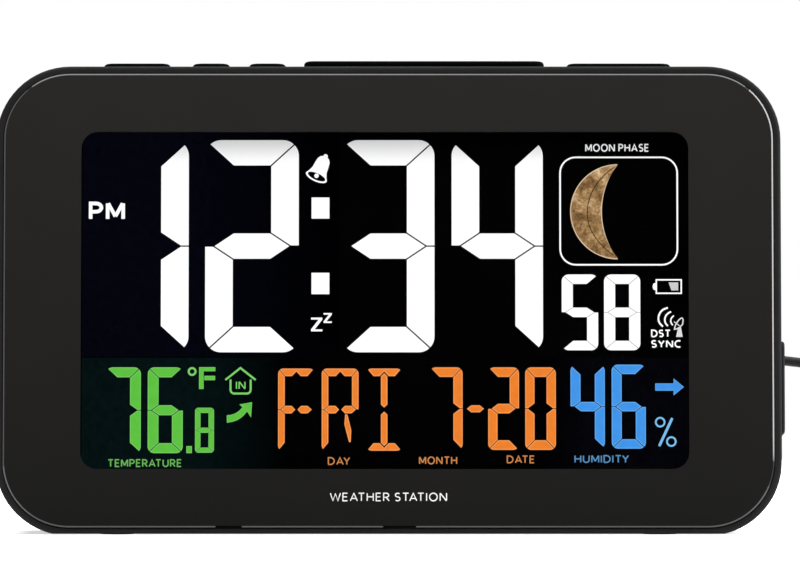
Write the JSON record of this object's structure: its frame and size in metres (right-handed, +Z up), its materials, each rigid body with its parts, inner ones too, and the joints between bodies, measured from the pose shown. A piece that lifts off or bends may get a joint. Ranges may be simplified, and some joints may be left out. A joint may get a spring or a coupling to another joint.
{
  "type": "home weather station",
  "caption": "Desk weather clock with a wide rounded black housing leaning back, a large colour display window, push buttons on top and a thin mains lead.",
  "frame": {"origin": "middle of the clock's footprint on the table, without its lead and adapter", "axes": "+Z up, front face towards -Y and leaning back 5 degrees, +X to the viewer's right"},
  "size_m": [0.3347, 0.0497, 0.1157],
  "materials": {
    "bezel_plastic": "fine satin moulded",
    "housing_plastic": "fine textured moulded",
    "port_plastic": "fine textured moulded",
    "button_plastic": "satin moulded",
    "stem_plastic": "moulded",
    "window_clear": "clear polished",
    "polariser_dark": "dark film",
    "lcd_glass": "thin display glass",
    "film_green": "coloured film",
    "film_orange": "coloured film",
    "film_blue": "coloured film",
    "moon_print": "printed film",
    "segment_white": "lit white film",
    "light_guide_acrylic": "polished acrylic",
    "reflector_white": "white film",
    "frame_white": "moulded",
    "led_strip_white": "board with lamps",
    "board_green": "solder mask",
    "chip_black": "moulded epoxy",
    "can_steel": "drawn can",
    "screw_steel": "zinc plated",
    "label_paper": "printed foil label, blank",
    "cell_sleeve": "shrink sleeve",
    "contact_nickel": "nickel plated",
    "usb_steel": "stamped, plated",
    "tongue_white": "moulded",
    "ferrite_dark": "sintered",
    "copper_wire": "enamelled wire",
    "lead_red": "insulated wire",
    "foot_rubber": "soft",
    "cord_rubber": "satin sleeve",
    "tie_rubber": "soft strap",
    "adapter_plastic": "fine textured moulded",
    "blade_brass": "nickel plated brass"
  },
  "bodies": {
    "clock": {"front_bezel": "bezel_plastic", "rear_housing": "housing_plastic", "port_surround": "port_plastic", "window_lens": "window_clear", "front_polariser": "polariser_dark", "lcd_front_glass": "lcd_glass", "lcd_rear_glass": "lcd_glass", "rear_polariser": "polariser_dark", "film_green": "film_green", "film_orange": "film_orange", "film_blue": "film_blue", "moon_film": "moon_print", "diffuser_film": "segment_white", "light_guide": "light_guide_acrylic", "reflector_film": "reflector_white", "backlight_frame": "frame_white", "led_strip": "led_strip_white", "main_board": "board_green", "controller_chip": "chip_black", "crystal_can": "can_steel", "capacitors": "can_steel", "board_screws": "screw_steel", "key_board": "board_green", "switch_bodies": "chip_black", "rating_label": "label_paper", "housing_screws": "screw_steel", "battery_upper": "cell_sleeve", "battery_lower": "cell_sleeve", "battery_contacts": "contact_nickel", "battery_springs": "contact_nickel", "usb_shell": "usb_steel", "usb_tongue": "tongue_white", "dc_jack": "chip_black", "dc_plug": "cord_rubber", "plug_relief": "cord_rubber", "plug_barrel": "contact_nickel", "ferrite_rod": "ferrite_dark", "antenna_coil": "copper_wire", "receiver_board": "board_green", "buzzer": "chip_black", "humidity_sensor": "board_green", "battery_leads": "lead_red", "rubber_feet": "foot_rubber", "power_cord": "cord_rubber", "power_cord_coil": "cord_rubber", "power_cord_tail": "cord_rubber", "cord_tie": "tie_rubber", "power_adapter": "adapter_plastic", "adapter_blades": "blade_brass"},
    "settings_button": {"settings_button": "button_plastic", "settings_button_stem": "stem_plastic"},
    "down_button": {"down_button": "button_plastic", "down_button_stem": "stem_plastic"},
    "up_button": {"up_button": "button_plastic", "up_button_stem": "stem_plastic"},
    "snooze_bar": {"snooze_bar": "button_plastic", "snooze_bar_stem": "stem_plastic"},
    "light_button": {"light_button": "button_plastic", "light_button_stem": "stem_plastic"},
    "battery_door": {"battery_door": "housing_plastic"}
  },
  "joints": [
    {"name": "settings_button_press", "type": "slide", "parent": "clock", "child": "settings_button", "axis": [0, -0.0872, -0.9962], "range_m": [0, 0.0007], "stiffness_N_per_m": 1500, "springref_m": -0.0003},
    {"name": "down_button_press", "type": "slide", "parent": "clock", "child": "down_button", "axis": [0, -0.0872, -0.9962], "range_m": [0, 0.0007], "stiffness_N_per_m": 1500, "springref_m": -0.0003},
    {"name": "up_button_press", "type": "slide", "parent": "clock", "child": "up_button", "axis": [0, -0.0872, -0.9962], "range_m": [0, 0.0007], "stiffness_N_per_m": 1500, "springref_m": -0.0003},
    {"name": "snooze_bar_press", "type": "slide", "parent": "clock", "child": "snooze_bar", "axis": [0, -0.0872, -0.9962], "range_m": [0, 0.0007], "stiffness_N_per_m": 1500, "springref_m": -0.0003},
    {"name": "light_button_press", "type": "slide", "parent": "clock", "child": "light_button", "axis": [0, -0.0872, -0.9962], "range_m": [0, 0.0007], "stiffness_N_per_m": 1500, "springref_m": -0.0003},
    {"name": "battery_door_hinge", "type": "hinge", "parent": "clock", "child": "battery_door", "pos_m": [-0.035, 0.01484, 0.02403], "axis": [-1, 0, 0], "range_deg": [0, 80]}
  ]
}
